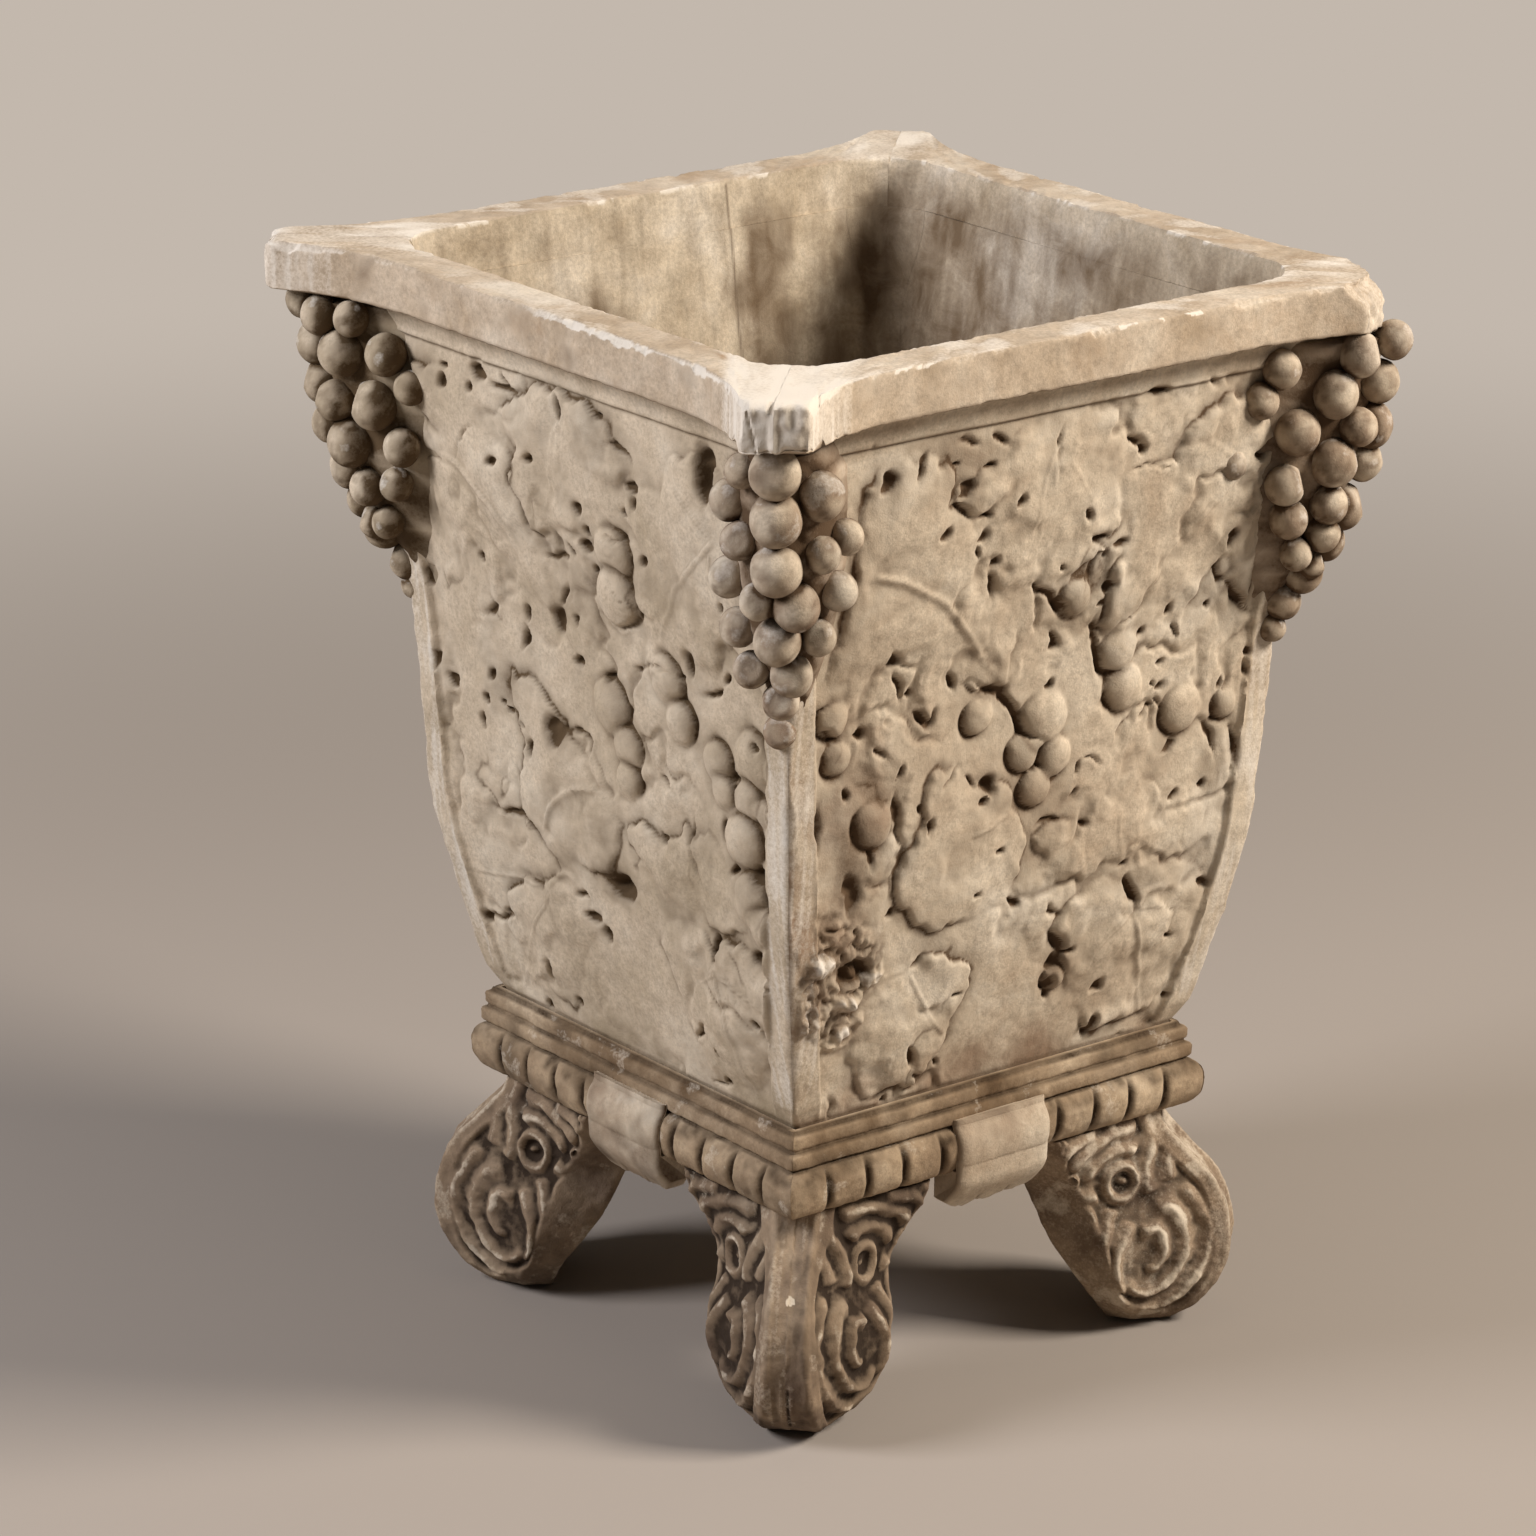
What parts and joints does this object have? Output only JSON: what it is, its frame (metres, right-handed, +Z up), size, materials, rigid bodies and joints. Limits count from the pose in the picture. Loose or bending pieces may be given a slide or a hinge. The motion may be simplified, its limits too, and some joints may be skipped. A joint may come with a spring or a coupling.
{
  "type": "garden vase",
  "caption": "Square swelling plaster garden planter with an eared rim, vine relief panels, grape bunches on the corners and scroll feet",
  "frame": {"origin": "on the ground under the middle of the vase", "axes": "+Z up; the side panels face -Y (front), +X (right), +Y (back) and -X (left), and the pictured corner is the one between front and left"},
  "size_m": [0.495, 0.495, 0.6601],
  "materials": {
    "aged_cast_plaster": "matt, weathered cast plaster with brown dirt in the hollows",
    "chipped_rim_plaster": "matt, paler and freshly chipped plaster",
    "soiled_foot_plaster": "matt, grey-brown soiled plaster",
    "rusted_dowel_iron": "rusted"
  },
  "bodies": {
    "root": {"wall_panel_front": "aged_cast_plaster", "wall_panel_right": "aged_cast_plaster", "wall_panel_back": "aged_cast_plaster", "wall_panel_left": "aged_cast_plaster", "rim_front": "chipped_rim_plaster", "rim_right": "chipped_rim_plaster", "rim_back": "chipped_rim_plaster", "rim_left": "chipped_rim_plaster", "base_moulding_front": "aged_cast_plaster", "base_moulding_right": "aged_cast_plaster", "base_moulding_back": "aged_cast_plaster", "base_moulding_left": "aged_cast_plaster", "moulding_tongue_front": "aged_cast_plaster", "moulding_tongue_right": "aged_cast_plaster", "moulding_tongue_back": "aged_cast_plaster", "moulding_tongue_left": "aged_cast_plaster", "corner_fillet_front_left": "aged_cast_plaster", "corner_fillet_front_right": "aged_cast_plaster", "corner_fillet_back_right": "aged_cast_plaster", "corner_fillet_back_left": "aged_cast_plaster", "scroll_foot_front_left": "soiled_foot_plaster", "scroll_foot_front_right": "soiled_foot_plaster", "scroll_foot_back_right": "soiled_foot_plaster", "scroll_foot_back_left": "soiled_foot_plaster", "grape_cluster_front_left": "aged_cast_plaster", "grape_cluster_front_right": "aged_cast_plaster", "grape_cluster_back_right": "aged_cast_plaster", "grape_cluster_back_left": "aged_cast_plaster", "foot_dowel_front_left": "rusted_dowel_iron", "foot_dowel_front_right": "rusted_dowel_iron", "foot_dowel_back_right": "rusted_dowel_iron", "foot_dowel_back_left": "rusted_dowel_iron", "floor_slab": "aged_cast_plaster"}
  },
  "joints": []
}
